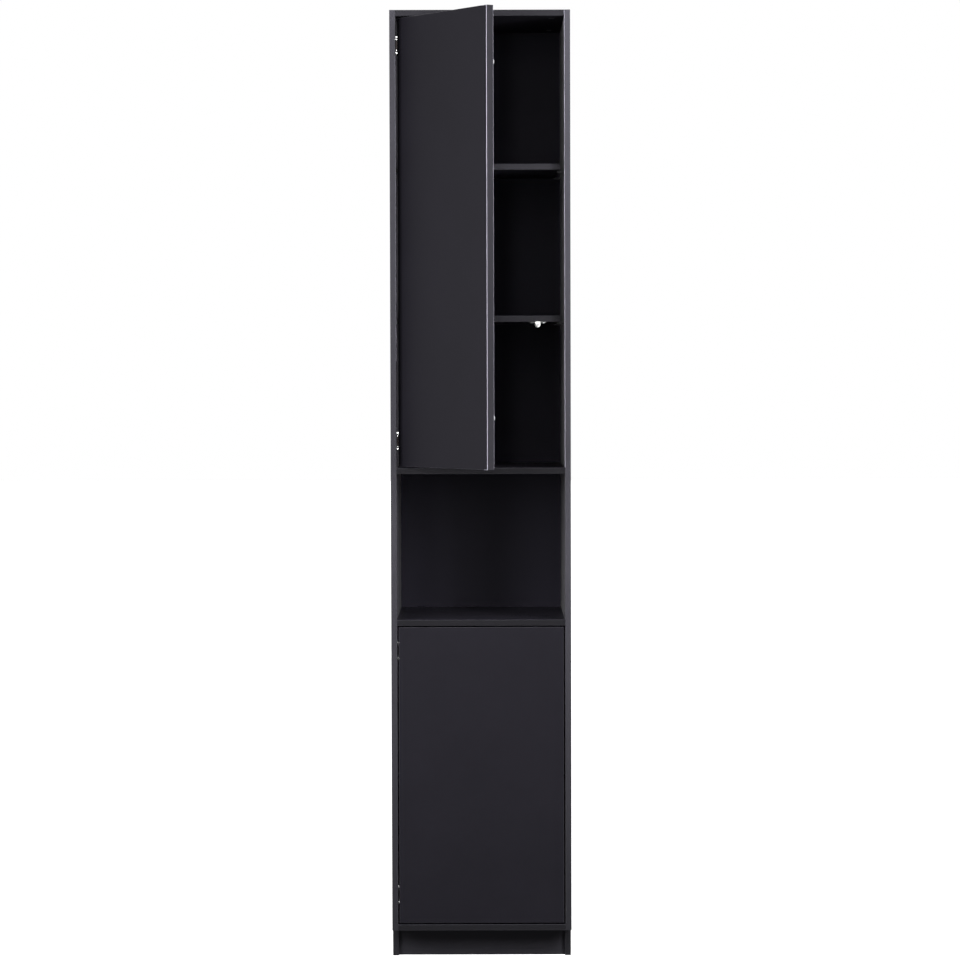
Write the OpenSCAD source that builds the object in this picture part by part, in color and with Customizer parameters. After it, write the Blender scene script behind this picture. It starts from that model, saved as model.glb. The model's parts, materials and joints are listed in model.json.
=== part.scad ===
// Tall narrow storage cabinet: an upper door, an open niche and a lower door.
// Boards are flat-packed with cams and dowels; both doors are inset, hung on
// cup hinges at the left and held by push latches at the right.
// The drawing's front plane is y = 0, with y growing to the back.

/* [Carcass] */
// Overall width of the cabinet
cabinet_w = 360; // [330:1:480]
// Overall height of the cabinet
cabinet_h = 1900; // [1860:1:2000]
// Overall depth of the side panels
cabinet_d = 400; // [340:1:480]
// Thickness of every carcass board
board_t = 12; // [12:0.5:16]
// Radius of the softened arrises
arris_r = 0.8; // [0.4:0.1:1.5]

/* [Bays] */
// Height of the toe space under the bottom panel
toe_h = 60; // [50:1:90]
// Depth of the toe notch in the side panels
toe_d = 60; // [40:1:80]
// Set-back of the plinth board behind the toe notch
plinth_back = 10; // [4:1:16]
// Clear height of the lower compartment
lower_bay_h = 600; // [560:1:640]
// Clear height of the open niche
niche_h = 292; // [240:1:330]
// Set-back of the loose shelves behind the front plane
shelf_set_back = 36; // [34:1:60]
// Side clearance of a loose shelf
shelf_clearance = 7.5; // [4:0.5:8]

/* [Doors] */
// Thickness of the doors
door_t = 16; // [16:0.5:19]
// Gap all round an inset door
door_gap = 3; // [3:0.1:4]
// Angle at which the upper door stands open
upper_open = 57.4; // [0:0.1:95]
// Angle at which the lower door stands open
lower_open = 0; // [0:0.1:95]
// Distance of a hinge's middle from the door's end
hinge_inset = 50; // [40:1:80]
// Distance of the upper buffer from the door's top
buffer_top = 108; // [80:1:130]
// Distance of the lower buffer from the door's bottom
buffer_bottom = 100; // [80:1:130]
// Diameter of a buffer pad
buffer_d = 12.6; // [8:0.2:16]
// Thickness of a buffer pad
buffer_t = 3.2; // [1.5:0.1:5]

/* [Hinge cup] */
// Outer diameter of the hinge cup
cup_d = 34.8; // [34.8:0.1:36]
// Depth of the hinge cup in the door
cup_depth = 12; // [11.8:0.1:12.4]
// Distance of the cup's middle from the door's hinged edge
cup_inset = 22.5; // [22:0.1:23]
// Thickness of the cup's flange
flange_t = 1.2; // [0.8:0.1:1.4]
// Half of the spacing of the two cup screws
cup_screw_z = 24; // [22:0.5:26]
// Offset of the cup screws from the cup's middle
cup_screw_x = 6; // [4:0.5:8]

/* [Hinge links] */
// Diameter of the four hinge pins
hinge_pin_d = 2.2; // [2:0.1:2.2]
// Running clearance round a pin, on the radius
pin_clearance = 0.05; // [0.02:0.01:0.08]
// Half width of the inner link
inner_link_half = 3.6; // [2.5:0.1:3.8]
// Thickness of the strap of a link
link_t = 2; // [1.4:0.1:2.2]
// Thickness of one cheek of the outer link
outer_cheek_t = 2.4; // [1.6:0.1:2.6]

/* [Hinge arm] */
// Half width of the arm over its cheeks
arm_half = 8.8; // [8.6:0.1:8.8]
// Thickness of the arm's sheet
arm_t = 1.4; // [1:0.1:1.6]
// Length of the arm from the front plane
arm_end = 88; // [80:1:110]
// Spacing of the two screws of a mounting plate
plate_screw_pitch = 32; // [32:1:40]
// Distance of the plate screws behind a closed door
plate_screw_back = 37; // [35:1:45]
// Thickness of the mounting plate's wings
wing_t = 2.4; // [1.5:0.1:2.6]

/* [Latches] */
// Distance of a latch's middle from the right side panel
latch_inset = 53; // [45:0.5:80]
// Width of the latch housing
latch_w = 10; // [9.5:0.5:14]
// Height of the latch housing
latch_h = 11.5; // [10.5:0.5:15]
// Length of the latch housing
latch_len = 56; // [48:1:80]
// Width over the two ears of the latch
ear_span = 36; // [32:1:50]
// Diameter of the plunger
plunger_d = 7; // [6:0.5:8]
// Travel of the plunger
plunger_travel = 5; // [3:0.5:6]
// Diameter of a strike plate
strike_d = 16; // [12:0.5:20]
// Thickness of a strike plate
strike_t = 1.5; // [1:0.1:2]

/* [Fittings] */
// Diameter of a wooden dowel
dowel_d = 6; // [5:0.5:8]
// Depth of a dowel in a side panel
dowel_side = 8; // [6:0.5:9]
// Depth of a dowel in a board's end
dowel_end = 14; // [10:1:20]
// Diameter of a cam
cam_d = 12; // [11:0.5:14]
// Height of a cam
cam_h = 9; // [8:0.5:9.5]
// Distance of a cam's middle from the board's end
cam_back = 24; // [20:1:30]
// Diameter of a shelf pin's stem
shelf_pin_d = 5; // [4:0.5:6]
// Distance of the front and rear fittings from the ends of a board
fitting_inset = 34; // [30:1:60]
// Thickness of the back panel
back_t = 3; // [2.5:0.5:5]
// Depth of the groove that holds the back panel
groove_d = 5; // [3:0.5:6]
// Distance of the back panel from the rear edges
back_inset = 10; // [6:1:20]

/* [Hidden] */
$fn = 48;

black = "#2b2a2f";
steel = "#c4c6c8";
zinc = "#aeb1b4";
white = "#e9e9e6";
wood = "#c9a878";
rubber = "#5a5d62";

// Fit allowances
fit = 0.02;
seat = 0.1;
running = 0.05;

// Heights of the boards' undersides
z_bottom = toe_h;
z_lower_fixed = z_bottom + board_t + lower_bay_h;
z_upper_fixed = z_lower_fixed + board_t + niche_h;
z_top = cabinet_h - board_t;
upper_bay = [z_upper_fixed + board_t, z_top];
lower_bay = [z_bottom + board_t, z_lower_fixed];
upper_pitch = (upper_bay[1] - upper_bay[0] + board_t) / 3;
lower_pitch = (lower_bay_h + board_t) / 2;
z_shelf_middle = upper_bay[0] + upper_pitch - board_t;
z_shelf_top = z_shelf_middle + upper_pitch;
z_shelf_lower = lower_bay[0] + lower_pitch - board_t;
fixed_heights = [z_top, z_upper_fixed, z_lower_fixed, z_bottom];
shelf_heights = [z_shelf_top, z_shelf_middle, z_shelf_lower];

// Widths and depths inside the carcass
inner_w = cabinet_w - 2 * board_t;
wall_x = inner_w / 2;
back_y = cabinet_d - back_inset - back_t;
back_z = [z_bottom + board_t - groove_d, z_top + groove_d];
plinth_y = toe_d + plinth_back;
origin_y = plinth_y + board_t / 2;

// Doors, as they stand when closed
door_w = inner_w - 2 * door_gap;
upper_door_z = [upper_bay[0] + door_gap, upper_bay[1] - door_gap];
lower_door_z = [lower_bay[0] + door_gap, lower_bay[1] - door_gap];
hinge_z = [upper_door_z[1] - hinge_inset, upper_door_z[0] + hinge_inset,
           lower_door_z[1] - hinge_inset, lower_door_z[0] + hinge_inset];

// Hinge section: x runs from the side panel's face, y from the front plane.
// a and b are the arm's pivots, c and d the cup's, with the door closed.
arm_pins_x = [33, 20];
arm_pins_back = 2.2;
cup_pins_x = [17.2, 22.7];
cup_pins_up = 2;
cup_sheet = 0.8;
cup_floor = door_t - cup_depth + cup_sheet;
pivot_a = [door_gap + arm_pins_x[0], door_t + arm_pins_back];
pivot_b = [door_gap + arm_pins_x[1], door_t + arm_pins_back];
pivot_c = [door_gap + cup_pins_x[0], cup_floor + cup_pins_up];
pivot_d = [door_gap + cup_pins_x[1], cup_floor + cup_pins_up];
// Turn of the inner link and of the outer link for each degree of the door
inner_ratio = 0.23;
outer_ratio = 0.44;
// Play of the outer link round pin b, where the real linkage closes
open_play = 0.95;
pin_r = hinge_pin_d / 2;
barrel_r = 1.8;
slot_half_x = 13.9;
slot_half_z = 9;
cup_r = cup_d / 2;
outer_link_in = inner_link_half + 0.6;
outer_link_half = outer_link_in + outer_cheek_t;
plate_y = door_t + plate_screw_back;
arm_seat = 9.9;
arm_web = arm_t + 0.1;

// Latch and strike, with the door closed
latch_x = wall_x - latch_inset;
latch_shelf_z = [z_shelf_middle, z_shelf_lower];
latch_axis_drop = latch_h - latch_w / 2;
latch_front = door_t + strike_t + 6.7;
ear_t = 2;
ear_y = [shelf_set_back + 4, shelf_set_back + 30];
ear_hole_x = (ear_span + latch_w) / 4;
plunger_r = plunger_d / 2;
plunger_tip = door_t + strike_t + 0.3;
plunger_len = latch_len * 0.7;

// Opening angle of each hinge and door
hinge_open = [upper_open, upper_open, lower_open, lower_open];

// A point turned as an opening door turns
function turn(p, a) = [p[0] * cos(a) + p[1] * sin(a), p[1] * cos(a) - p[0] * sin(a)];
function c_at(a) = pivot_a + turn(pivot_c - pivot_a, inner_ratio * a);
function d_at(a) = c_at(a) + turn(pivot_d - pivot_c, a);
// Share of the plunger's travel that is out at a door angle
function plunger_out(a) = plunger_travel * a / 95;

// Moves the drawing so that the origin lies under the plinth
module in_frame() { translate([0, -origin_y, 0]) children(); }

// Places a hinge section against the left side panel
module at_wall() { translate([-wall_x, 0, 0]) children(); }

// Carries children drawn for the closed pose to a door angle
module with_door(a) {
    at_wall() translate([c_at(a)[0], c_at(a)[1], 0]) rotate([0, 0, -a])
        translate([-pivot_c[0], -pivot_c[1], 0]) translate([wall_x, 0, 0]) children();
}
module with_inner_link(a) {
    at_wall() translate([pivot_a[0], pivot_a[1], 0]) rotate([0, 0, -inner_ratio * a])
        translate([-pivot_a[0], -pivot_a[1], 0]) children();
}
module with_outer_link(a) {
    at_wall() translate([d_at(a)[0], d_at(a)[1], 0]) rotate([0, 0, -outer_ratio * a])
        translate([-pivot_d[0], -pivot_d[1], 0]) children();
}

// Rectangle whose corners are rounded where asked
module soft_rect(low, high, round_low_y = true, round_high_y = false) {
    r = arris_r;
    difference() {
        translate(low) square(high - low);
        if (round_low_y) {
            translate(low) corner_cut(r, 0);
            translate([high[0], low[1]]) corner_cut(r, 90);
        }
        if (round_high_y) {
            translate([low[0], high[1]]) corner_cut(r, 270);
            translate(high) corner_cut(r, 180);
        }
    }
}
module corner_cut(r, a) {
    rotate(a) difference() {
        translate([-1, -1]) square(r + 1);
        translate([r, r]) circle(r);
    }
}

// Board lying flat, its front arrises softened
module flat_board(low, high) {
    intersection() {
        translate(low) cube(high - low);
        translate([low[0] - 1, 0, 0]) rotate([90, 0, 90])
            linear_extrude(high[0] - low[0] + 2) soft_profile([low[1], low[2]], [high[1], high[2]]);
    }
}
module soft_profile(low, high) {
    r = arris_r;
    difference() {
        translate(low) square(high - low);
        translate(low) corner_cut(r, 0);
        translate([low[0], high[1]]) corner_cut(r, 270);
    }
}

// Side panels
module side_panel(side) {
    inner = side * wall_x;
    outer = side * cabinet_w / 2;
    low_x = min(inner, outer);
    difference() {
        linear_extrude(cabinet_h) soft_rect([low_x, 0], [low_x + board_t, cabinet_d], true, false);
        translate([low_x - 1, -1, -1]) cube([board_t + 2, toe_d + 1, toe_h + 1]);
        // Groove for the back panel
        translate([inner, back_y - seat, back_z[0] - seat]) mirror([side < 0 ? 1 : 0, 0, 0])
            translate([-1, 0, 0]) cube([groove_d + 1, back_t + 2 * seat, back_z[1] - back_z[0] + 2 * seat]);
        for (z = fixed_heights, y = fitting_ys(z)) {
            end_bore(side, y[0], z + board_t / 2, dowel_d / 2 + fit, dowel_side);
            end_bore(side, y[1], z + board_t / 2, cam_thread_r + fit, cam_thread_len);
        }
        for (z = plinth_dowel_zs)
            end_bore(side, plinth_y + board_t / 2, z, dowel_d / 2 + fit, dowel_side);
        for (z = shelf_heights, y = shelf_pin_ys)
            end_bore(side, y, z - shelf_pin_r, shelf_pin_r + fit, shelf_pin_in);
        if (side < 0) for (z = hinge_z, s = [-1, 1])
            end_bore(side, plate_y, z + s * plate_screw_pitch / 2, plate_screw_r + fit, plate_screw_in);
    }
}

// Bore into a side panel's inner face
module end_bore(side, y, z, r, depth) {
    translate([side * (wall_x - 1), y, z]) rotate([0, side * 90, 0]) cylinder(r = r, h = depth + 1);
}

// Depths at which a fixed board is pegged and bolted: [dowel, cam] pairs
fixed_ys = [[fitting_inset, fitting_inset + 32], [back_y - fitting_inset, back_y - fitting_inset - 32]];
toe_ys = [[toe_d + fitting_inset, toe_d + fitting_inset + 32],
          [back_y - fitting_inset, back_y - fitting_inset - 32]];
function fitting_ys(z) = z == z_bottom ? toe_ys : fixed_ys;
plinth_dowel_zs = [toe_h / 4, toe_h * 3 / 4];
cam_thread_r = 2.5;
cam_thread_len = 8;
shelf_pin_r = shelf_pin_d / 2;
shelf_pin_in = 8;
shelf_pin_bearing = 6;
shelf_pin_out = shelf_clearance + shelf_pin_bearing;
shelf_pin_ys = [shelf_set_back + 40, back_y - 50];
plate_screw_r = 1.75;
plate_screw_in = 9.5;

module side_panel_left() { color(black) side_panel(-1); }
module side_panel_right() { color(black) side_panel(1); }

// Fixed board with its dowel bores, bolt bores and cam pockets
module fixed_board(z, low_y, high_y, groove) {
    low = [-wall_x, low_y, z];
    high = [wall_x, high_y, z + board_t];
    color(black) difference() {
        flat_board(low, high);
        for (s = [-1, 1], y = fitting_ys(z)) {
            translate([s * (wall_x + 1), y[0], z + board_t / 2]) rotate([0, -s * 90, 0])
                cylinder(r = dowel_d / 2 + fit, h = dowel_end + 1.5);
            translate([s * (wall_x + 1), y[1], z + board_t / 2]) rotate([0, -s * 90, 0])
                cylinder(r = bolt_head_r + seat, h = cam_back + 1);
            translate([s * (wall_x - cam_back), y[1], z - 1])
                cylinder(r = cam_d / 2 + fit, h = cam_h + 1 + seat);
        }
        if (groove == "below")
            translate([-wall_x - 1, back_y - seat, z - 1])
                cube([inner_w + 2, back_t + 2 * seat, groove_d + 1 + seat]);
        if (groove == "above")
            translate([-wall_x - 1, back_y - seat, z + board_t - groove_d - seat])
                cube([inner_w + 2, back_t + 2 * seat, groove_d + 1 + seat]);
    }
}
module top_panel() { fixed_board(z_top, 0, cabinet_d, "below"); }
module upper_fixed_panel() { fixed_board(z_upper_fixed, 0, back_y, "none"); }
module lower_fixed_panel() { fixed_board(z_lower_fixed, 0, back_y, "none"); }
module bottom_panel() { fixed_board(z_bottom, 0, cabinet_d, "above"); }

module plinth_board() {
    color(black) difference() {
        translate([-wall_x, plinth_y, 0]) cube([inner_w, board_t, toe_h]);
        for (s = [-1, 1], z = plinth_dowel_zs)
            translate([s * (wall_x + 1), plinth_y + board_t / 2, z]) rotate([0, -s * 90, 0])
                cylinder(r = dowel_d / 2 + fit, h = dowel_end + 1.5);
    }
}

module back_panel() {
    reach = wall_x + groove_d - seat;
    color(black) translate([-reach, back_y, back_z[0]]) cube([2 * reach, back_t, back_z[1] - back_z[0]]);
}

// Loose shelf on four pins
module shelf(z, latched) {
    half = wall_x - shelf_clearance;
    color(black) difference() {
        flat_board([-half, shelf_set_back, z], [half, back_y - 1, z + board_t]);
        if (latched) latch_screw_places(z) translate([0, 0, -1]) cylinder(r = ear_screw_r + fit, h = ear_screw_in + 1);
    }
}
module shelf_top() { shelf(z_shelf_top, false); }
module shelf_middle() { shelf(z_shelf_middle, true); }
module shelf_lower() { shelf(z_shelf_lower, true); }

// Wooden dowels
module dowel() {
    len = dowel_side + dowel_end;
    chamfer = 0.8;
    cylinder(r1 = dowel_d / 2 - chamfer, r2 = dowel_d / 2, h = chamfer);
    translate([0, 0, chamfer]) cylinder(r = dowel_d / 2, h = len - 2 * chamfer);
    translate([0, 0, len - chamfer]) cylinder(r1 = dowel_d / 2, r2 = dowel_d / 2 - chamfer, h = chamfer);
}
module dowel_at(side, y, z) {
    translate([side * (wall_x + dowel_side), y, z]) rotate([0, -side * 90, 0]) dowel();
}
module dowels() {
    color(wood) for (side = [-1, 1]) {
        for (z = fixed_heights, y = fitting_ys(z)) dowel_at(side, y[0], z + board_t / 2);
        for (z = plinth_dowel_zs) dowel_at(side, plinth_y + board_t / 2, z);
    }
}

// Bolts of the cam fittings: thread in the side panel, head in the cam
bolt_head_r = 2.5;
bolt_shank_r = 2.3;
bolt_neck_r = 1.8;
module cam_bolt() {
    cylinder(r = cam_thread_r, h = cam_thread_len);
    translate([0, 0, cam_thread_len]) cylinder(r = bolt_shank_r, h = cam_back - 9);
    translate([0, 0, cam_thread_len + cam_back - 9]) cylinder(r = bolt_neck_r, h = 5);
    translate([0, 0, cam_thread_len + cam_back - 4]) cylinder(r1 = bolt_neck_r, r2 = bolt_head_r, h = 1.2);
    translate([0, 0, cam_thread_len + cam_back - 2.8]) cylinder(r = bolt_head_r, h = 2.4);
}
module cam_bolts() {
    color(zinc) for (side = [-1, 1], z = fixed_heights, y = fitting_ys(z))
        translate([side * (wall_x + cam_thread_len), y[1], z + board_t / 2])
            rotate([0, -side * 90, 0]) cam_bolt();
}

// Cam with its mouth for the bolt's head and a cross recess below
module cam() {
    difference() {
        cylinder(r = cam_d / 2, h = cam_h);
        translate([0, 0, board_t / 2]) {
            translate([-0.2, 0, 0]) rotate([0, 90, 0]) cylinder(r = bolt_head_r + 0.2, h = 3.6);
            rotate([0, 90, 0]) cylinder(r = bolt_neck_r + 0.4, h = cam_d);
        }
        for (a = [0, 90]) rotate([0, 0, a]) translate([-3.5, -0.6, -1]) cube([7, 1.2, 2.4]);
    }
}
module cam_locks() {
    color(zinc) for (side = [-1, 1], z = fixed_heights, y = fitting_ys(z))
        translate([side * (wall_x - cam_back), y[1], z]) rotate([0, 0, side > 0 ? 0 : 180]) cam();
}

// Shelf pins: stem in the side, nose under the shelf
module shelf_pins() {
    color(black) for (side = [-1, 1], z = shelf_heights, y = shelf_pin_ys)
        translate([side * (wall_x + shelf_pin_in - 0.5), y, z - shelf_pin_r]) rotate([0, -side * 90, 0])
            cylinder(r = shelf_pin_r, h = shelf_pin_in - 0.5 + shelf_pin_out);
}

// Door blank, drawn closed, with its cup bores and screw holes
module door_blank(span, zs) {
    low = [-wall_x + door_gap, 0, span[0]];
    high = [wall_x - door_gap, door_t, span[1]];
    r = arris_r;
    difference() {
        intersection() {
            translate([0, 0, span[0]]) linear_extrude(span[1] - span[0])
                soft_rect([low[0], 0], [high[0], door_t], true, true);
            translate([low[0], 0, 0]) rotate([90, 0, 90]) linear_extrude(door_w) difference() {
                translate([0, span[0]]) square([door_t, span[1] - span[0]]);
                translate([0, span[0]]) corner_cut(r, 0);
                translate([0, span[1]]) corner_cut(r, 270);
                translate([door_t, span[0]]) corner_cut(r, 90);
                translate([door_t, span[1]]) corner_cut(r, 180);
            }
        }
        for (z = zs) {
            translate([low[0] + cup_inset, door_t - cup_depth - seat, z]) rotate([-90, 0, 0])
                cylinder(r = cup_r + seat, h = cup_depth + 1);
            for (s = [-1, 1])
                translate([low[0] + cup_inset + cup_screw_x, door_t - cup_screw_in, z + s * cup_screw_z])
                    rotate([-90, 0, 0]) cylinder(r = cup_screw_r + fit, h = cup_screw_in + 1);
        }
    }
}
cup_screw_r = 1.6;
cup_screw_in = 10;
module strike_hole(span) {
    translate([latch_x, door_t - strike_screw_in, strike_z(span)]) rotate([-90, 0, 0])
        cylinder(r = strike_screw_r + fit, h = strike_screw_in + 1);
}
strike_screw_r = 1.4;
strike_screw_in = 9;
function strike_z(span) = (span == upper_door_z ? latch_shelf_z[0] : latch_shelf_z[1]) - latch_axis_drop;
module door(span, zs, a) {
    color(black) with_door(a) difference() {
        door_blank(span, zs);
        strike_hole(span);
    }
}
module upper_door() { door(upper_door_z, [hinge_z[0], hinge_z[1]], upper_open); }
module lower_door() { door(lower_door_z, [hinge_z[2], hinge_z[3]], lower_open); }

// Mounting plate: two round lobes screwed to the side, joined by a waist,
// and a block that carries the arm
lobe_r = 4.8;
waist_front = 1;
block_front = 4;
block_rear = 31;
block_play = 0.6;
block_top = arm_seat - 0.2;
module hinge_plate(i) {
    block_half = arm_half - arm_t - block_play;
    lobe_z = plate_screw_pitch / 2;
    color(steel) at_wall() translate([0, 0, hinge_z[i]]) difference() {
        union() {
            rotate([90, 0, 90]) linear_extrude(wing_t) {
                for (s = [-1, 1]) translate([plate_y, s * lobe_z]) circle(lobe_r);
                translate([plate_y - waist_front, -lobe_z]) square([lobe_r, 2 * lobe_z]);
            }
            translate([0, plate_y - block_front, -block_half])
                cube([block_top, block_front + block_rear, 2 * block_half]);
        }
        for (s = [-1, 1]) translate([-1, plate_y, s * lobe_z]) rotate([0, 90, 0])
            cylinder(r = plate_screw_r + 0.2, h = wing_t + 2);
        // Tapped holes of the fixing and adjusting screws
        for (y = arm_screw_ys) translate([2, y, 0]) rotate([0, 90, 0])
            cylinder(r = arm_screw_r + fit, h = arm_seat);
    }
}
module hinge_plate_1() { hinge_plate(0); }
module hinge_plate_2() { hinge_plate(1); }
module hinge_plate_3() { hinge_plate(2); }
module hinge_plate_4() { hinge_plate(3); }

// Screws of the mounting plates, with pan heads and a cross recess
module pan_screw(r, len, head_r, head_h) {
    difference() {
        union() {
            translate([0, 0, -len + 1.5]) cylinder(r = r, h = len - 1.5);
            translate([0, 0, -len]) cylinder(r1 = r * 0.3, r2 = r, h = 1.5);
            cylinder(r = head_r, h = head_h * 0.5);
            translate([0, 0, head_h * 0.5]) cylinder(r1 = head_r, r2 = head_r * 0.72, h = head_h * 0.5);
        }
        for (a = [0, 90]) rotate([0, 0, a])
            translate([-head_r * 0.55, -0.4, head_h - 0.9]) cube([head_r * 1.1, 0.8, 2]);
    }
}
module hinge_plate_screws() {
    color(steel) at_wall() for (z = hinge_z, s = [-1, 1])
        translate([wing_t, plate_y, z + s * plate_screw_pitch / 2]) rotate([0, 90, 0])
            pan_screw(plate_screw_r, plate_screw_in + wing_t - 0.5, 3.6, 2.2);
}

// Arm of a hinge: a channel cranked from the plate out to the nose
arm_screw_ys = [plate_y + 6, plate_y + 22];
arm_screw_r = 2.4;
front_eye_r = 2.6;
rear_eye_r = 2.9;
cheek_foot = 3.2;
nose_back = 5;
nose_side = 4;
// Bends of the arm, counted forward from the plate's screws
bends = [2, 6, 11, 15, 19, 23];
module arm_section() {
    nose_x = pivot_a[0] - nose_back;
    nose_y = pivot_b[1] + front_eye_r;
    side_x = pivot_a[0] + nose_side;
    top_x = arm_seat + arm_web;
    polygon([
        [cheek_foot, arm_end],
        [cheek_foot, plate_y - bends[3]],
        [cheek_foot + nose_back, plate_y - bends[4]],
        [nose_x - nose_side, plate_y - bends[4]],
        [nose_x, plate_y - bends[5]],
        [nose_x, nose_y],
        [pivot_b[0], nose_y],
        [pivot_b[0], pivot_b[1] - front_eye_r],
        [pivot_a[0], pivot_a[1] - rear_eye_r],
        [side_x - 1, pivot_a[1]],
        [side_x, plate_y - bends[5]],
        [pivot_a[0] - rear_eye_r, plate_y - bends[2]],
        [top_x + cheek_foot, plate_y - bends[1]],
        [top_x, plate_y - bends[0]],
        [top_x, arm_end]
    ]);
    translate(pivot_a) circle(rear_eye_r);
    translate(pivot_b) circle(front_eye_r);
}
module hinge_arm(i) {
    cheek_in = arm_half - arm_t;
    side_x = pivot_a[0] + nose_side;
    nose_y = pivot_b[1] + front_eye_r;
    color(steel) at_wall() translate([0, 0, hinge_z[i]]) difference() {
        translate([0, 0, -arm_half]) linear_extrude(2 * arm_half) arm_section();
        // Hollow of the channel, open at the nose and at the rear
        translate([0, 0, -cheek_in]) linear_extrude(2 * cheek_in) {
            translate([-arm_web, -arm_web * 0.7]) arm_section();
            square([side_x + 1, nose_y + nose_back]);
            translate([0, arm_end - arm_seat]) square([arm_seat, arm_end]);
        }
        for (p = [pivot_a, pivot_b]) translate([p[0], p[1], -arm_half - 1])
            cylinder(r = pin_r + fit, h = 2 * arm_half + 2);
        for (y = arm_screw_ys) translate([arm_seat - 1, y, 0]) rotate([0, 90, 0])
            cylinder(r = arm_screw_r + 0.3, h = arm_web + 2);
    }
}
module hinge_arm_1() { hinge_arm(0); }
module hinge_arm_2() { hinge_arm(1); }
module hinge_arm_3() { hinge_arm(2); }
module hinge_arm_4() { hinge_arm(3); }

// Fixing and adjusting screws of the arms
module hinge_arm_screws() {
    color(zinc) at_wall() for (z = hinge_z, y = arm_screw_ys)
        translate([arm_seat + arm_web, y, z]) rotate([0, 90, 0]) pan_screw(arm_screw_r, 8, 3.8, 2);
}
module hinge_arm_pins() {
    color(steel) at_wall() for (z = hinge_z, p = [pivot_a, pivot_b])
        translate([p[0], p[1], z - arm_half]) cylinder(r = pin_r, h = 2 * arm_half);
}

// Strap between two points, as thick as the link's sheet
module strap(p, q) {
    d = q - p;
    translate(p) rotate(atan2(d[1], d[0])) translate([0, -link_t / 2]) square([norm(d), link_t]);
}

// Inner link: one wide strap with a barrel at each end
module inner_link(i) {
    color(zinc) with_inner_link(hinge_open[i]) translate([0, 0, hinge_z[i]]) difference() {
        union() {
            translate([0, 0, -inner_link_half]) linear_extrude(2 * inner_link_half) {
                strap(pivot_a, pivot_c);
                translate(pivot_c) circle(barrel_r);
            }
            translate([pivot_a[0], pivot_a[1], -arm_half + arm_t + 0.3])
                cylinder(r = 2.4, h = 2 * (arm_half - arm_t - 0.3));
        }
        for (p = [pivot_a, pivot_c]) translate([p[0], p[1], -arm_half])
            cylinder(r = pin_r + pin_clearance, h = 2 * arm_half);
    }
}
module inner_link_1() { inner_link(0); }
module inner_link_2() { inner_link(1); }
module inner_link_3() { inner_link(2); }
module inner_link_4() { inner_link(3); }

// Outer link: two cheeks on a barrel, bowed clear of pin c
module outer_link(i) {
    bow = [pivot_d[0] + 0.9, (pivot_b[1] + pivot_d[1]) / 2 - 0.4];
    eye_r = pin_r + open_play + 0.9;
    color(zinc) with_outer_link(hinge_open[i]) translate([0, 0, hinge_z[i]]) difference() {
        union() {
            for (s = [-1, 1]) translate([0, 0, s > 0 ? outer_link_in : -outer_link_half])
                linear_extrude(outer_cheek_t) {
                    strap(pivot_d, bow);
                    translate(bow) circle(link_t / 2);
                    strap(bow, pivot_b);
                    translate(pivot_b) circle(eye_r);
                }
            translate([pivot_d[0], pivot_d[1], -outer_link_half])
                cylinder(r = barrel_r, h = 2 * outer_link_half);
        }
        translate([pivot_d[0], pivot_d[1], -arm_half])
            cylinder(r = pin_r + pin_clearance, h = 2 * arm_half);
        translate([pivot_b[0], pivot_b[1], -arm_half])
            cylinder(r = pin_r + open_play, h = 2 * arm_half);
    }
}
module outer_link_1() { outer_link(0); }
module outer_link_2() { outer_link(1); }
module outer_link_3() { outer_link(2); }
module outer_link_4() { outer_link(3); }

// Cup of a hinge: a slotted bowl with a flange and two screw lobes
cup_pin_half = 12;
module hinge_cup(i) {
    mid = [-wall_x + door_gap + cup_inset, door_t, hinge_z[i]];
    color(steel) with_door(hinge_open[i]) difference() {
        translate(mid) union() {
            translate([0, -cup_depth, 0]) rotate([-90, 0, 0]) cylinder(r = cup_r, h = cup_depth);
            translate([0, flange_t, 0]) rotate([90, 0, 0]) linear_extrude(flange_t) {
                circle(cup_r + 1);
                hull() for (s = [-1, 1]) translate([cup_screw_x, s * cup_screw_z]) circle(5);
            }
        }
        translate(mid + [-slot_half_x, -door_t + cup_floor, -slot_half_z])
            cube([2 * slot_half_x, door_t, 2 * slot_half_z]);
        for (p = [pivot_c, pivot_d]) translate([p[0] - wall_x, p[1], hinge_z[i] - cup_pin_half - fit])
            cylinder(r = pin_r + fit, h = 2 * cup_pin_half + 2 * fit);
        for (s = [-1, 1]) translate(mid + [cup_screw_x, -1, s * cup_screw_z]) rotate([-90, 0, 0])
            cylinder(r = cup_screw_r + 0.2, h = flange_t + 2);
    }
}
module hinge_cup_1() { hinge_cup(0); }
module hinge_cup_2() { hinge_cup(1); }
module hinge_cup_3() { hinge_cup(2); }
module hinge_cup_4() { hinge_cup(3); }

module cup_screws(first, a) {
    x = -wall_x + door_gap + cup_inset + cup_screw_x;
    color(steel) with_door(a) for (i = [first, first + 1], s = [-1, 1])
        translate([x, door_t + flange_t, hinge_z[i] + s * cup_screw_z]) rotate([-90, 0, 0])
            pan_screw(cup_screw_r, cup_screw_in + flange_t - 0.5, 3.3, 1.8);
}
module upper_cup_screws() { cup_screws(0, upper_open); }
module lower_cup_screws() { cup_screws(2, lower_open); }

module cup_pins(first, a) {
    color(steel) with_door(a) at_wall() for (i = [first, first + 1], p = [pivot_c, pivot_d])
        translate([p[0], p[1], hinge_z[i] - cup_pin_half]) cylinder(r = pin_r, h = 2 * cup_pin_half);
}
module upper_cup_pins() { cup_pins(0, upper_open); }
module lower_cup_pins() { cup_pins(2, lower_open); }

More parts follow.
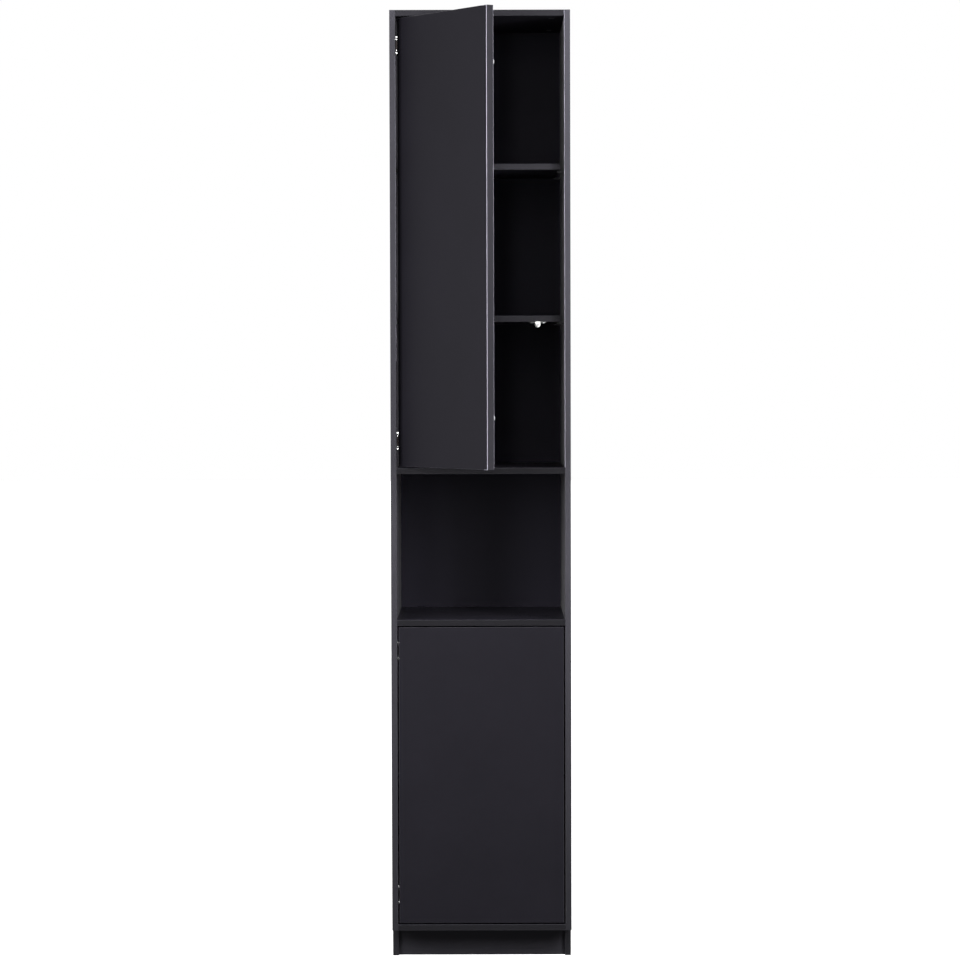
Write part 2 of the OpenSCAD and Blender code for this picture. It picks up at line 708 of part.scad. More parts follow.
// Buffer pads near the free edge of a door's back
module door_buffers(span, a) {
    x = wall_x - door_gap - buffer_d / 2 - 1;
    color(rubber) with_door(a) for (z = [span[1] - buffer_top, span[0] + buffer_bottom])
        translate([x, door_t, z]) rotate([-90, 0, 0]) {
            cylinder(r = buffer_d / 2, h = buffer_t * 0.6);
            translate([0, 0, buffer_t * 0.6])
                cylinder(r1 = buffer_d / 2, r2 = buffer_d / 2 - 1.4, h = buffer_t * 0.4);
        }
}
module upper_door_buffers() { door_buffers(upper_door_z, upper_open); }
module lower_door_buffers() { door_buffers(lower_door_z, lower_open); }

// Strike plates that the latches push against
module strike_plate(span, a) {
    color(steel) with_door(a) translate([latch_x, door_t, strike_z(span)]) rotate([-90, 0, 0]) difference() {
        cylinder(r = strike_d / 2, h = strike_t);
        translate([0, 0, -1]) cylinder(r = strike_screw_r + 0.2, h = strike_t + 2);
        translate([0, 0, strike_t - 1.05]) cylinder(r1 = strike_screw_r + 0.2, r2 = 3.1, h = 1.06);
    }
}
module upper_strike_plate() { strike_plate(upper_door_z, upper_open); }
module lower_strike_plate() { strike_plate(lower_door_z, lower_open); }

module strike_screw(span, a) {
    color(zinc) with_door(a) translate([latch_x, door_t + strike_t, strike_z(span)]) rotate([-90, 0, 0])
        difference() {
            union() {
                translate([0, 0, -0.95]) cylinder(r1 = strike_screw_r, r2 = 2.9, h = 0.95);
                translate([0, 0, -strike_screw_in]) cylinder(r = strike_screw_r, h = strike_screw_in - 0.9);
            }
            for (t = [0, 90]) rotate([0, 0, t]) translate([-1.6, -0.35, -0.6]) cube([3.2, 0.7, 1]);
        }
}
module upper_strike_screw() { strike_screw(upper_door_z, upper_open); }
module lower_strike_screw() { strike_screw(lower_door_z, lower_open); }

// Push latch: a shield-shaped housing with two ears under a shelf
ear_screw_r = 1.5;
ear_screw_in = 8;
module latch_screw_places(z) {
    for (s = [-1, 1]) translate([latch_x + s * ear_hole_x, (ear_y[0] + ear_y[1]) / 2, z]) children();
}
module latch_housing(z) {
    half = latch_w / 2;
    color(white) difference() {
        union() {
            translate([latch_x, latch_front, z]) rotate([-90, 0, 0]) linear_extrude(latch_len) {
                translate([-half, 0]) square([latch_w, latch_axis_drop]);
                translate([0, latch_axis_drop]) circle(half);
            }
            translate([latch_x - ear_span / 2 + 5, ear_y[0], z - ear_t])
                cube([ear_span - 10, ear_y[1] - ear_y[0], ear_t]);
            for (s = [-1, 1]) translate([latch_x + s * (ear_span / 2 - 5), 0, z - ear_t])
                linear_extrude(ear_t) hull() for (y = [ear_y[0] + 5, ear_y[1] - 5]) translate([0, y]) circle(5);
        }
        translate([latch_x, latch_front - 1, z - latch_axis_drop]) rotate([-90, 0, 0])
            cylinder(r = plunger_r + running, h = latch_len - 3);
        latch_screw_places(z) translate([0, 0, -ear_t - 1]) cylinder(r = ear_screw_r + 0.2, h = ear_t + 2);
    }
}
module upper_latch_housing() { latch_housing(latch_shelf_z[0]); }
module lower_latch_housing() { latch_housing(latch_shelf_z[1]); }
module latch_screws() {
    color(zinc) for (z = latch_shelf_z) latch_screw_places(z)
        translate([0, 0, -ear_t]) rotate([180, 0, 0]) pan_screw(ear_screw_r, ear_screw_in + ear_t - 0.5, 2.9, 1.6);
}

// Plunger, drawn pressed in against the strike plate of a closed door
magnet_r = 2.4;
magnet_t = 2.5;
module plunger(z, a) {
    color(white) translate([latch_x, plunger_tip - plunger_out(a), z - latch_axis_drop])
        rotate([-90, 0, 0]) difference() {
            union() {
                cylinder(r1 = plunger_r - 0.6, r2 = plunger_r, h = 0.6);
                translate([0, 0, 0.6]) cylinder(r = plunger_r, h = plunger_len - 0.6);
            }
            translate([0, 0, -1]) cylinder(r = magnet_r + fit, h = magnet_t + 1 - 0.3);
            translate([0, 0, 8]) cylinder(r = plunger_r - 1, h = plunger_len);
        }
}
module upper_latch_plunger() { plunger(latch_shelf_z[0], upper_open); }
module lower_latch_plunger() { plunger(latch_shelf_z[1], lower_open); }

module latch_magnet(z, a) {
    color("#4a4c50") translate([latch_x, plunger_tip - plunger_out(a), z - latch_axis_drop])
        rotate([-90, 0, 0]) cylinder(r = magnet_r, h = magnet_t - 0.3);
}
module upper_latch_magnet() { latch_magnet(latch_shelf_z[0], upper_open); }
module lower_latch_magnet() { latch_magnet(latch_shelf_z[1], lower_open); }

in_frame() side_panel_left();
in_frame() side_panel_right();
in_frame() top_panel();
in_frame() upper_fixed_panel();
in_frame() lower_fixed_panel();
in_frame() bottom_panel();
in_frame() plinth_board();
in_frame() back_panel();
in_frame() shelf_top();
in_frame() shelf_middle();
in_frame() shelf_lower();
in_frame() dowels();
in_frame() cam_bolts();
in_frame() cam_locks();
in_frame() shelf_pins();
in_frame() upper_door();
in_frame() lower_door();
in_frame() hinge_plate_1();
in_frame() hinge_plate_2();
in_frame() hinge_plate_3();
in_frame() hinge_plate_4();
in_frame() hinge_arm_1();
in_frame() hinge_arm_2();
in_frame() hinge_arm_3();
in_frame() hinge_arm_4();
in_frame() hinge_plate_screws();
in_frame() hinge_arm_screws();
in_frame() hinge_arm_pins();
in_frame() inner_link_1();
in_frame() inner_link_2();
in_frame() inner_link_3();
in_frame() inner_link_4();
in_frame() outer_link_1();
in_frame() outer_link_2();
in_frame() outer_link_3();
in_frame() outer_link_4();
in_frame() hinge_cup_1();
in_frame() hinge_cup_2();
in_frame() hinge_cup_3();
in_frame() hinge_cup_4();
in_frame() upper_cup_screws();
in_frame() lower_cup_screws();
in_frame() upper_cup_pins();
in_frame() lower_cup_pins();
in_frame() upper_door_buffers();
in_frame() lower_door_buffers();
in_frame() upper_strike_plate();
in_frame() lower_strike_plate();
in_frame() upper_strike_screw();
in_frame() lower_strike_screw();
in_frame() upper_latch_housing();
in_frame() lower_latch_housing();
in_frame() latch_screws();
in_frame() upper_latch_plunger();
in_frame() lower_latch_plunger();
in_frame() upper_latch_magnet();
in_frame() lower_latch_magnet();
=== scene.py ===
"""The looks of a tall matte black storage cabinet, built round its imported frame."""

import json
import math

import bpy
from mathutils import Matrix, Vector


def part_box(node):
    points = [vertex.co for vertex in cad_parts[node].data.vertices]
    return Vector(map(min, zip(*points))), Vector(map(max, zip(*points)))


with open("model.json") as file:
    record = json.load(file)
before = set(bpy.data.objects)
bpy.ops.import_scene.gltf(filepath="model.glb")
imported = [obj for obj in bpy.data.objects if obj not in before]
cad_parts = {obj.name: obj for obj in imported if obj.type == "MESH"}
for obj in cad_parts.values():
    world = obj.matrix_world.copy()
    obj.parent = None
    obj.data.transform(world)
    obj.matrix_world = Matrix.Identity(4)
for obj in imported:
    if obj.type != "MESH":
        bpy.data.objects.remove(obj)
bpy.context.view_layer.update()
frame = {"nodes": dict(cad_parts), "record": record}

# Camera, as fitted to the photograph's outlines
PHOTO_PX = 960
FOCAL_PX = 3636
SENSOR_MM = 36
CAMERA_AT = (-0.0016, -7.336, 1.1945)
CAMERA_PITCH = math.radians(1.820)
CAMERA_ROLL = math.radians(0.150)
CAMERA_REACH = 100

# Lamps: name, azimuth, reach, height, size in metres and power in watts
LAMPS = (
    ("left_box", -35, 2.0, 1.5, (0.35, 1.5), 35),
    ("left_side_box", -57, 2.0, 1.5, (0.35, 1.5), 27),
    ("left_fill", -15, 2.0, 1.5, (0.2, 1.5), 12),
    ("right_box", 37, 2.0, 1.5, (0.35, 1.5), 45),
    ("right_fill", 25, 2.0, 1.5, (0.35, 1.5), 11),
    ("right_high", 50, 2.2, 2.8, (0.5, 0.5), 22),
    ("front_fill", -2.6, 2.6, 1.8, (0.15, 1.6), 14),
    ("front_high", 0, 2.6, 3.4, (2.0, 1.0), 17),
)
LAMP_AIM = Vector((0, 0, 1.0))

# Strength of the white surroundings in front, behind and below, and the least that a gloss mirrors
WORLD_FRONT = 0.0
WORLD_BACK = 0.9
WORLD_BELOW = 0.16
WORLD_GLOSS = 1.2
WORLD_DEPTH_SPAN = (-0.2, 0.6)
WORLD_HEIGHT_SPAN = (-0.3, 0.1)
WHITE = (1, 1, 1, 1)
FLOOR_HALF = 30.0
FLOOR_TONE = (0.85, 0.85, 0.85, 1)
FLOOR_ROUGH = 0.9

# Direction that the carcass looks in
FRONT = (0.0, -1.0, 0.0)

# Colour casts of the black lacquer: edges, faces, and the back panel
BLACK_TINT = (1.0, 0.96, 1.16)
DOOR_TINT = (1.0, 0.93, 1.27)
DEEP_TINT = (1.0, 0.92, 1.35)

# Carcass boards: finish, level of the front edge and of the faces, roughness of the faces, and nodes.
# The levels of the front edges, of the shelves' paler faces and of the plinth are set board by board to
# the light
# each catches: painted light and shade, lit and shaded copies of one black lacquer.
FACE_LEVEL = 0.011
SHELF_FACE_LEVEL = 0.022
FACE_ROUGH = 0.3
BOARDS = (
    ("top_board", 0.0175, FACE_LEVEL, 0.7, ("top_panel",)),
    ("fixed_board", 0.0074, FACE_LEVEL, FACE_ROUGH, ("upper_fixed_panel", "lower_fixed_panel")),
    ("bottom_board", 0.0085, FACE_LEVEL, FACE_ROUGH, ("bottom_panel",)),
    ("shelf_board", 0.0240, SHELF_FACE_LEVEL, FACE_ROUGH, ("shelf_top", "shelf_lower")),
    ("middle_shelf_board", 0.0138, SHELF_FACE_LEVEL, FACE_ROUGH, ("shelf_middle",)),
)
EDGE_ROUGH = 0.5
BOARD_SHINE = 0.05
# Paler arrises on the carcass boards and the back: a painted highlight
ARRIS_HIGHLIGHT_LEVEL = 0.03
PLINTH_LEVEL = 0.024
BACK_LEVEL = 0.0135
BACK_ROUGHS = (0.5, 0.5)

# Side panels: the front edge darkens towards the floor as a painted shade, and part of the inner arris is
# paler as a painted highlight; the two sides' edge and face levels differ as lit and shaded copies of one
# black
LEFT_SIDE = {"edge": 0.039, "face": 0.015, "foot": 0.0162}
RIGHT_SIDE = {"edge": 0.058, "face": 0.012, "foot": 0.0140, "face_rough": 0.42}
SIDE_SHEEN = 0.07
FOOT_SHADE_SPAN = (0.05, 1.8)
LEFT_ARRIS_HIGHLIGHT = 0.28
LEFT_ARRIS_SPAN = (1.2, 1.81)
RIGHT_ARRIS_HIGHLIGHT = 0.9
ARRIS_DEEP = 0.01

# Doors: level of the faces, the edges and the arrises, the upper door's free edge being the palest. The
# two doors' face levels differ as lit and shaded copies of one black, painted light and shade, and the
# paler arrises, the free edge's most of all, are painted highlights
UPPER_DOOR_LEVEL = 0.0070
LOWER_DOOR_LEVEL = 0.0080
DOOR_EDGE_LEVEL = 0.0185
DOOR_ARRIS_HIGHLIGHT_LEVEL = 0.03
DOOR_ROUGHS = (0.55, 0.5)
DULL_SHINE = 0.04
FREE_ARRIS_HIGHLIGHT = 0.42
FREE_EDGE_DEEP = 0.0095

# Cosines to the board's own direction between which a surface counts as flat, or as an arris
FLAT_COSINES = (0.93, 0.99)
CURVED_COSINES = (0.08, 0.3)

# Grain and clouds of the lacquer: noise per metre, and how far each shifts the tone and roughness
GRAIN_SCALE = 900.0
GRAIN_ROUGH = 0.03
GRAIN_BUMP = (0.25, 0.00012)
CLOUD_SCALE = 7.0
CLOUD_ROUGH = 0.02
CLOUD_TONES = (0.93, 1.07)
ARRIS_GLOSS = 0.15

# Values of noise between which a texture fades
NOISE_SPAN = (0.3, 0.7)
STAIN_SPAN = (0.35, 0.65)

# Metals: colour and roughness
METALS = {
    "cam_metal": ((0.10, 0.10, 0.105), 0.45),
    "nickel_plate": ((0.78, 0.77, 0.75), 0.45),
    "zinc_plate": ((0.66, 0.68, 0.71), 0.36),
    "magnet_face": ((0.25, 0.25, 0.26), 0.4),
}
LINE_SCALE = 1500.0
LINE_STRETCH = (1, 1, 12)
LINE_ROUGHS = (-0.06, 0.08)
LINE_BUMP = (0.15, 0.00005)
METAL_STAIN_SCALE = 60.0
METAL_STAIN = 0.85

# Hinge plates: the upper two have bright lobes and the lower two a darkened copy of them, as painted
# shade;
# the block in the middle is painted dark, a painted shade where the hinge arm shades it
PLATE_LOBES = ((0.97, 0.97, 0.96), (0.97, 0.97, 0.96), (0.22, 0.22, 0.22), (0.22, 0.22, 0.22))
PLATE_ROUGH = 0.2
SHADED_BLOCK_TONE = (0.011, 0.009, 0.009)
LOBE_INNER = 0.0105
LOBE_BLUR = 0.0005

# Plastics: colour and roughness
WHITE_TONE = (0.74, 0.74, 0.72)
WHITE_ROUGH = 0.4
PLASTICS = {
    "white_plastic": (WHITE_TONE, WHITE_ROUGH),
    "black_plastic": ((0.012, 0.012, 0.014), 0.55),
    "buffer_rubber": ((0.32, 0.33, 0.35), 0.45),
}
SKIN_SCALE = 2500.0
SKIN_ROUGH = 0.05
SKIN_BUMP = (0.1, 0.00004)
PLASTIC_SHADE_SCALE = 120.0
PLASTIC_SHADE = 0.93

# Latch housings: half the width of the white body, past which the screw ears are painted dark as painted
# shade
LATCH_HALF = 0.0052
EAR_SHADE_TONE = (0.10, 0.10, 0.10)

# Beech of the dowels
BEECH_DARK = (0.52, 0.36, 0.2)
BEECH_PALE = (0.72, 0.55, 0.36)
BEECH_ROUGH = 0.7
BEECH_SCALE = 700.0
BEECH_STRETCH = (0.06, 1, 1)
BEECH_BUMP = (0.3, 0.0001)

# Finish of each material slot in the record
SLOTS = {
    "nickel": "nickel_plate",
    "zinc": "zinc_plate",
    "white_plastic": "white_plastic",
    "black_plastic": "black_plastic",
    "buffer": "buffer_rubber",
    "magnet": "magnet_face",
}


def node_tree(name):
    """A new material, its tree and its Principled shader."""
    material = bpy.data.materials.new(name)
    material.use_nodes = True
    tree = material.node_tree
    return material, tree, tree.nodes["Principled BSDF"]


def add(tree, kind, **inputs):
    """A node with some of its inputs set by name."""
    node = tree.nodes.new(kind)
    for key, value in inputs.items():
        node.inputs[key.replace("_", " ")].default_value = value
    return node


def feed(tree, socket, value):
    """An input takes a number or another node's output."""
    if isinstance(value, (int, float)):
        socket.default_value = value
    else:
        tree.links.new(value, socket)


def maths(tree, operation, first, second=None):
    """The output of a maths node fed by sockets or numbers."""
    node = tree.nodes.new("ShaderNodeMath")
    node.operation = operation
    feed(tree, node.inputs[0], first)
    if second is not None:
        feed(tree, node.inputs[1], second)
    return node.outputs[0]


def vector_maths(tree, operation, first, second=None):
    """A vector maths node fed by a socket and, where given, a fixed vector."""
    node = tree.nodes.new("ShaderNodeVectorMath")
    node.operation = operation
    tree.links.new(first, node.inputs[0])
    if second is not None:
        node.inputs[1].default_value = second
    return node


def axes(tree, place):
    """The X, Y and Z of a place."""
    node = tree.nodes.new("ShaderNodeSeparateXYZ")
    tree.links.new(place, node.inputs["Vector"])
    return node.outputs


def fade(tree, value, low, high, start=0.0, end=1.0):
    """A socket's value taken from low..high to start..end, held at both ends; the end may be a socket."""
    node = add(tree, "ShaderNodeMapRange", From_Min=low, From_Max=high, To_Min=start)
    feed(tree, node.inputs["To Max"], end)
    tree.links.new(value, node.inputs["Value"])
    return node.outputs["Result"]


def mix_colour(tree, factor, first, second):
    """A colour mix of two colours or sockets by a socket."""
    node = tree.nodes.new("ShaderNodeMix")
    node.data_type = "RGBA"
    tree.links.new(factor, node.inputs["Factor"])
    for key, value in (("A", first), ("B", second)):
        socket = [s for s in node.inputs if s.name == key and s.type == "RGBA"][0]
        if isinstance(value, tuple):
            socket.default_value = (*value, 1.0)
        else:
            tree.links.new(value, socket)
    return [s for s in node.outputs if s.type == "RGBA"][0]


def noise(tree, coords, scale, detail=2.0, roughness=0.5, stretch=(1, 1, 1)):
    """Noise in the object's own coordinates, per metre."""
    mapping = tree.nodes.new("ShaderNodeMapping")
    mapping.inputs["Scale"].default_value = stretch
    tree.links.new(coords, mapping.inputs["Vector"])
    node = add(tree, "ShaderNodeTexNoise", Scale=scale, Detail=detail, Roughness=roughness)
    tree.links.new(mapping.outputs["Vector"], node.inputs["Vector"])
    return node.outputs["Fac"]


def bump(tree, height, strength, distance):
    """A bump node's normal."""
    node = add(tree, "ShaderNodeBump", Strength=strength, Distance=distance)
    tree.links.new(height, node.inputs["Height"])
    return node.outputs["Normal"]


def own_place(tree):
    """The place of a point in its object's own coordinates."""
    return tree.nodes.new("ShaderNodeTexCoord").outputs["Object"]


def in_box(tree, place, low, high):
    """One where a place lies in a box, nought elsewhere."""
    centre = [(a + b) / 2 for a, b in zip(low, high)]
    half = [(b - a) / 2 for a, b in zip(low, high)]
    off = place
    for operation, value in (("SUBTRACT", centre), ("ABSOLUTE", None), ("SUBTRACT", half)):
        off = vector_maths(tree, operation, off, value).outputs["Vector"]
    x, y, z = axes(tree, off)
    worst = maths(tree, "MAXIMUM", maths(tree, "MAXIMUM", x, y), z)
    return fade(tree, worst, -0.0001, 0.0001, 1.0, 0.0)


def board_masks(tree, way, normal):
    """Masks of the faces along a direction and of the arrises."""
    turned = vector_maths(tree, "DOT_PRODUCT", normal, way)
    facing = maths(tree, "ABSOLUTE", turned.outputs["Value"])
    is_along = fade(tree, facing, *FLAT_COSINES)
    is_curved = maths(tree, "SUBTRACT", fade(tree, facing, *CURVED_COSINES), is_along)
    return is_along, is_curved


def board_tone(tree, place, masks, tones, foot, arris_highlight):
    """A board's tone by the way that a surface faces, with the painted foot shade and the painted arris
    highlight worked in.
    """
    is_along, is_curved = masks
    along, across, arris = tones
    if foot:
        along = mix_colour(tree, fade(tree, axes(tree, place)["Z"], *FOOT_SHADE_SPAN), foot, along)
    if arris_highlight:
        tone, low, high = arris_highlight
        arris = mix_colour(tree, in_box(tree, place, low, high), arris, tone)
    return mix_colour(tree, is_curved, mix_colour(tree, is_along, across, along), arris)


def board_rough(tree, masks, roughs, clouds, grain):
    """A board's roughness, patchy by its clouds and grain, and less on the arrises."""
    is_along, is_curved = masks
    along, across = roughs
    rough = fade(tree, is_along, 0.0, 1.0, across, along)
    cloudy = fade(tree, clouds, *NOISE_SPAN, -CLOUD_ROUGH, CLOUD_ROUGH)
    grainy = fade(tree, grain, *NOISE_SPAN, -GRAIN_ROUGH, GRAIN_ROUGH)
    matte = maths(tree, "ADD", rough, maths(tree, "ADD", cloudy, grainy))
    return maths(tree, "SUBTRACT", matte, maths(tree, "MULTIPLY", is_curved, ARRIS_GLOSS))


def board_finish(name, way, tones, roughs, shine, sheen=0.0, foot=None, arris_highlight=None):
    """Matte lacquered board.

    The tones are those of the faces along a direction, of the faces across it and of the arrises, whose
    paler tone is a painted highlight, and the roughnesses are those along and across. A foot tone, where
    given, is a painted shade that takes over from the tone along towards the floor. A painted arris
    highlight, where given, is a tone and a box in which the arrises take it.
    """
    material, tree, shader = node_tree(name)
    coords = tree.nodes.new("ShaderNodeTexCoord")
    place = coords.outputs["Object"]
    masks = board_masks(tree, way, coords.outputs["Normal"])
    grain = noise(tree, place, GRAIN_SCALE, 3.0)
    clouds = noise(tree, place, CLOUD_SCALE, 3.0, 0.6)
    smoky = add(tree, "ShaderNodeHueSaturation")
    tree.links.new(fade(tree, clouds, *NOISE_SPAN, *CLOUD_TONES), smoky.inputs["Value"])
    tree.links.new(board_tone(tree, place, masks, tones, foot, arris_highlight), smoky.inputs["Color"])
    tree.links.new(smoky.outputs["Color"], shader.inputs["Base Color"])
    tree.links.new(board_rough(tree, masks, roughs, clouds, grain), shader.inputs["Roughness"])
    tree.links.new(bump(tree, grain, *GRAIN_BUMP), shader.inputs["Normal"])
    shader.inputs["Specular IOR Level"].default_value = shine
    shader.inputs["Sheen Weight"].default_value = sheen
    return material


def metal_finish(name, colour, rough):
    """Plated steel with fine drawn lines and faint stains."""
    material, tree, shader = node_tree(name)
    place = own_place(tree)
    lines = noise(tree, place, LINE_SCALE, 2.0, 0.5, LINE_STRETCH)
    stains = noise(tree, place, METAL_STAIN_SCALE, 3.0)
    stained = tuple(METAL_STAIN * c for c in colour)
    smooth, dull = LINE_ROUGHS
    tone = mix_colour(tree, fade(tree, stains, *STAIN_SPAN), stained, colour)
    tree.links.new(tone, shader.inputs["Base Color"])
    drawn = fade(tree, lines, *NOISE_SPAN, rough + smooth, rough + dull)
    tree.links.new(drawn, shader.inputs["Roughness"])
    tree.links.new(bump(tree, lines, *LINE_BUMP), shader.inputs["Normal"])
    shader.inputs["Metallic"].default_value = 1.0
    return material


def plastic_finish(name, colour, rough):
    """Moulded plastic or rubber with a fine skin."""
    material, tree, shader = node_tree(name)
    place = own_place(tree)
    skin = noise(tree, place, SKIN_SCALE)
    shade = noise(tree, place, PLASTIC_SHADE_SCALE)
    shaded = tuple(PLASTIC_SHADE * c for c in colour)
    tone = mix_colour(tree, fade(tree, shade, *STAIN_SPAN), shaded, colour)
    tree.links.new(tone, shader.inputs["Base Color"])
    uneven = fade(tree, skin, *NOISE_SPAN, rough - SKIN_ROUGH, rough + SKIN_ROUGH)
    tree.links.new(uneven, shader.inputs["Roughness"])
    tree.links.new(bump(tree, skin, *SKIN_BUMP), shader.inputs["Normal"])
    return material


def wood_finish(name):
    """Turned beech with long grain along the dowel."""
    material, tree, shader = node_tree(name)
    grain = noise(tree, own_place(tree), BEECH_SCALE, 4.0, 0.6, BEECH_STRETCH)
    tone = mix_colour(tree, fade(tree, grain, *NOISE_SPAN), BEECH_DARK, BEECH_PALE)
    tree.links.new(tone, shader.inputs["Base Color"])
    tree.links.new(bump(tree, grain, *BEECH_BUMP), shader.inputs["Normal"])
    shader.inputs["Roughness"].default_value = BEECH_ROUGH
    return material


def repaint(material, mask, outside):
    """A finished material keeps its colour where a mask is one and takes another outside it."""
    tree = material.node_tree
    colour = tree.nodes["Principled BSDF"].inputs["Base Color"]
    inside = colour.links[0].from_socket
    tree.links.new(mix_colour(tree, mask, outside, inside), colour)
    return material


def plate_finish(node, colour):
    """Mounting plate: pressed lobes either side of a block painted dark as a painted shade."""
    low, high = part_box(node)
    material = metal_finish(f"{node}_metal", colour, PLATE_ROUGH)
    tree = material.node_tree
    height = axes(tree, own_place(tree))["Z"]
    off = maths(tree, "ABSOLUTE", maths(tree, "SUBTRACT", height, (low[2] + high[2]) / 2))
    return repaint(material, fade(tree, off, LOBE_INNER - LOBE_BLUR, LOBE_INNER), SHADED_BLOCK_TONE)


def latch_finish(node):
    """Latch housing: a white body whose screw ears are painted dark as a painted shade."""
    low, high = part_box(node)
    material = plastic_finish(f"{node}_plastic", WHITE_TONE, WHITE_ROUGH)
    tree = material.node_tree
    middle = (low[0] + high[0]) / 2
    on_body = in_box(tree, own_place(tree), (middle - LATCH_HALF, low[1] - 1, low[2] - 1),
                     (middle + LATCH_HALF, high[1] + 1, high[2] + 1))
    return repaint(material, on_body, EAR_SHADE_TONE)


def black(level, tints=BLACK_TINT):
    """The boards' faintly violet black at a given level."""
    return tuple(level * tint for tint in tints)


def board(name, edge, face=FACE_LEVEL, face_rough=FACE_ROUGH, arris=ARRIS_HIGHLIGHT_LEVEL, foot=None, arris_highlight=None,
          sheen=0.0):
    """A carcass board's finish: a dead matte front edge and faces with a little gloss."""
    tones = (black(edge), black(face, DOOR_TINT), black(arris))
    # The foot tone is a painted shade towards the floor
    painted_foot_shade = black(foot) if foot else None
    return board_finish(name, FRONT, tones, (EDGE_ROUGH, face_rough), BOARD_SHINE, sheen, painted_foot_shade, arris_highlight)


def back_finish():
    """The back panel's finish."""
    tones = (black(BACK_LEVEL, DEEP_TINT), black(FACE_LEVEL), black(ARRIS_HIGHLIGHT_LEVEL))
    return board_finish("back_board", FRONT, tones, BACK_ROUGHS, DULL_SHINE)


def door_finish(node, level, arris_highlight=None):
    """A door's finish: dead matte faces, paler edges, and arrises paler still as a painted highlight."""
    way = max(frame["nodes"][node].data.polygons, key=lambda face: face.area).normal
    tones = (black(level, DOOR_TINT), black(DOOR_EDGE_LEVEL), black(DOOR_ARRIS_HIGHLIGHT_LEVEL))
    return board_finish(f"{node}_board", way, tones, DOOR_ROUGHS, DULL_SHINE, arris_highlight=arris_highlight)


def free_edge_highlight():
    """Painted highlight: bright arrises down the free edge of the upper door, which stands furthest
    forward.
    """
    low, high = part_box("upper_door")
    return black(FREE_ARRIS_HIGHLIGHT), low, (high[0], low[1] + FREE_EDGE_DEEP, high[2])


def left_arris_highlight():
    """Painted highlight: a paler inner arris of the left side, along the middle of the upper door."""
    low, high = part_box("side_panel_left")
    foot, head = LEFT_ARRIS_SPAN
    middle = (low[0] + high[0]) / 2
    return black(LEFT_ARRIS_HIGHLIGHT), (middle, low[1], foot), (high[0], low[1] + ARRIS_DEEP, head)


def right_arris_highlight():
    """Painted highlight: a bright inner arris of the right side beside the upper compartment."""
    low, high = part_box("side_panel_right")
    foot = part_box("upper_fixed_panel")[1][2]
    middle = (low[0] + high[0]) / 2
    return black(RIGHT_ARRIS_HIGHLIGHT), (low[0], low[1], foot), (middle, low[1] + ARRIS_DEEP, high[2])


def dress(node, material):
    """A CAD node takes one material in every slot."""
    mesh = frame["nodes"][node].data
    if not mesh.materials:
        mesh.materials.append(material)
    for place in range(len(mesh.materials)):
        mesh.materials[place] = material


def dress_by_slot():
    """Every node's first finish, by the slot that the record gives it."""
    left = board("left_board", **LEFT_SIDE, sheen=SIDE_SHEEN, arris_highlight=left_arris_highlight())
    made = {name: metal_finish(name, *values) for name, values in METALS.items()}
    made.update({name: plastic_finish(name, *values) for name, values in PLASTICS.items()})
    by_slot = {slot: made[name] for slot, name in SLOTS.items()}
    by_slot["black_board"] = left
    by_slot["beech"] = wood_finish("beech_dowel")
    for part in frame["record"]["subparts"]:
        dress(part["node"], by_slot[part["material_slot"]])
    dress("cam_locks", made["cam_metal"])


def dress_boards():
    """Boards and doors whose finish departs from the left side's."""
    for name, edge, face, rough, nodes in BOARDS:
        material = board(name, edge, face, rough)
        for node in nodes:
            dress(node, material)
    dress("side_panel_right", board("right_board", **RIGHT_SIDE, sheen=SIDE_SHEEN, arris_highlight=right_arris_highlight()))
    dress("plinth_board", board("plinth_board", PLINTH_LEVEL, arris=PLINTH_LEVEL))
    dress("back_panel", back_finish())
    dress("upper_door", door_finish("upper_door", UPPER_DOOR_LEVEL, free_edge_highlight()))
    dress("lower_door", door_finish("lower_door", LOWER_DOOR_LEVEL))


def dress_fittings():
    """Hinge plates and latch housings, whose finish has a part painted darker as a painted shade; the
    lower plates' lobes are a darkened copy, also painted shade.
    """
    for number, colour in enumerate(PLATE_LOBES, 1):
        node = f"hinge_plate_{number}"
        dress(node, plate_finish(node, colour))
    for node in ("upper_latch_housing", "lower_latch_housing"):
        dress(node, latch_finish(node))


def surroundings():
    """A world that is pure white to the camera, dark in front of the cabinet and pale behind it."""
    world = bpy.data.worlds.new("studio_world")
    world.use_nodes = True
    tree = world.node_tree
    way = axes(tree, tree.nodes.new("ShaderNodeTexCoord").outputs["Generated"])
    behind = fade(tree, way["Y"], *WORLD_DEPTH_SPAN, WORLD_FRONT, WORLD_BACK)
    around = fade(tree, way["Z"], *WORLD_HEIGHT_SPAN, WORLD_BELOW, behind)
    path = tree.nodes.new("ShaderNodeLightPath")
    mirrored = maths(tree, "MULTIPLY", path.outputs["Is Glossy Ray"], WORLD_GLOSS)
    fill = tree.nodes["Background"]
    fill.inputs["Color"].default_value = WHITE
    tree.links.new(maths(tree, "MAXIMUM", around, mirrored), fill.inputs["Strength"])
    backdrop = add(tree, "ShaderNodeBackground", Color=WHITE)
    mix = tree.nodes.new("ShaderNodeMixShader")
    tree.links.new(path.outputs["Is Camera Ray"], mix.inputs["Fac"])
    tree.links.new(fill.outputs["Background"], mix.inputs[1])
    tree.links.new(backdrop.outputs["Background"], mix.inputs[2])
    tree.links.new(mix.outputs["Shader"], tree.nodes["World Output"].inputs["Surface"])
    bpy.context.scene.world = world


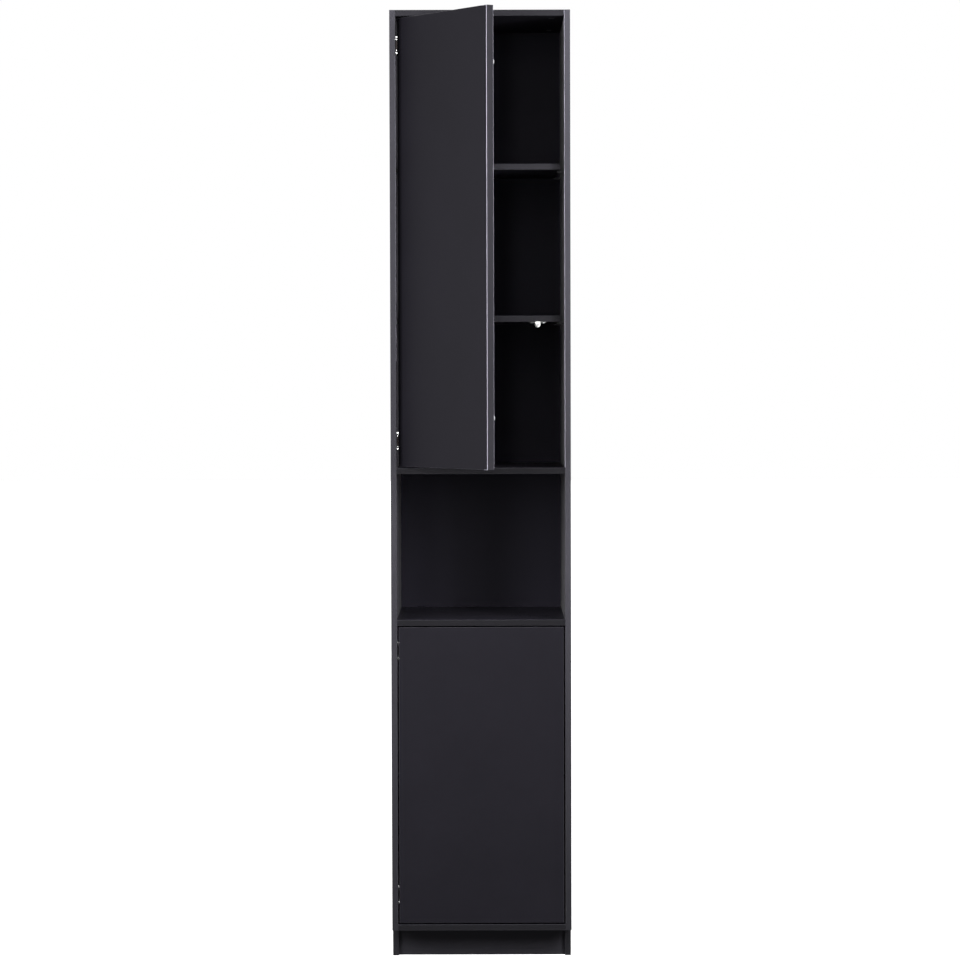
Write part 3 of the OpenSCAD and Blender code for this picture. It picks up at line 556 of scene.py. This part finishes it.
def floor():
    """A wide pale floor that glows evenly, so that no edge of it shows."""
    half = FLOOR_HALF
    mesh = bpy.data.meshes.new("floor")
    corners = [(-half, -half, 0), (half, -half, 0), (half, half, 0), (-half, half, 0)]
    mesh.from_pydata(corners, [], [(0, 1, 2, 3)])
    sheet = bpy.data.objects.new("floor", mesh)
    bpy.context.scene.collection.objects.link(sheet)
    material, _, shader = node_tree("pale_floor")
    shader.inputs["Base Color"].default_value = FLOOR_TONE
    shader.inputs["Roughness"].default_value = FLOOR_ROUGH
    shader.inputs["Emission Color"].default_value = WHITE
    shader.inputs["Emission Strength"].default_value = 1.0
    mesh.materials.append(material)
    sheet.visible_diffuse = False
    sheet.visible_glossy = False


def softbox(name, azimuth, reach, height, size, power):
    """A soft lamp, at an azimuth counted from the front to the right, that faces the cabinet."""
    light = bpy.data.lights.new(name, "AREA")
    light.shape = "RECTANGLE"
    light.size, light.size_y = size
    light.energy = power
    lamp = bpy.data.objects.new(name, light)
    turn = math.radians(azimuth)
    at = Vector((reach * math.sin(turn), -reach * math.cos(turn), height))
    lamp.location = at
    lamp.rotation_euler = (LAMP_AIM - at).to_track_quat("-Z", "Y").to_euler()
    lamp.visible_camera = False
    bpy.context.scene.collection.objects.link(lamp)


def camera():
    """The photograph's camera."""
    data = bpy.data.cameras.new("photo_camera")
    data.sensor_width = SENSOR_MM
    data.lens = SENSOR_MM * FOCAL_PX / PHOTO_PX
    data.clip_end = CAMERA_REACH
    eye = bpy.data.objects.new("photo_camera", data)
    turn = Matrix.Rotation(math.pi / 2 - CAMERA_PITCH, 4, "X") @ Matrix.Rotation(-CAMERA_ROLL, 4, "Z")
    eye.matrix_world = Matrix.Translation(CAMERA_AT) @ turn
    bpy.context.scene.collection.objects.link(eye)
    bpy.context.scene.camera = eye


camera()
bpy.context.scene.view_settings.view_transform = "Standard"
bpy.context.scene.view_settings.look = "None"
surroundings()
floor()
for lamp in LAMPS:
    softbox(*lamp)
dress_by_slot()
dress_boards()
dress_fittings()
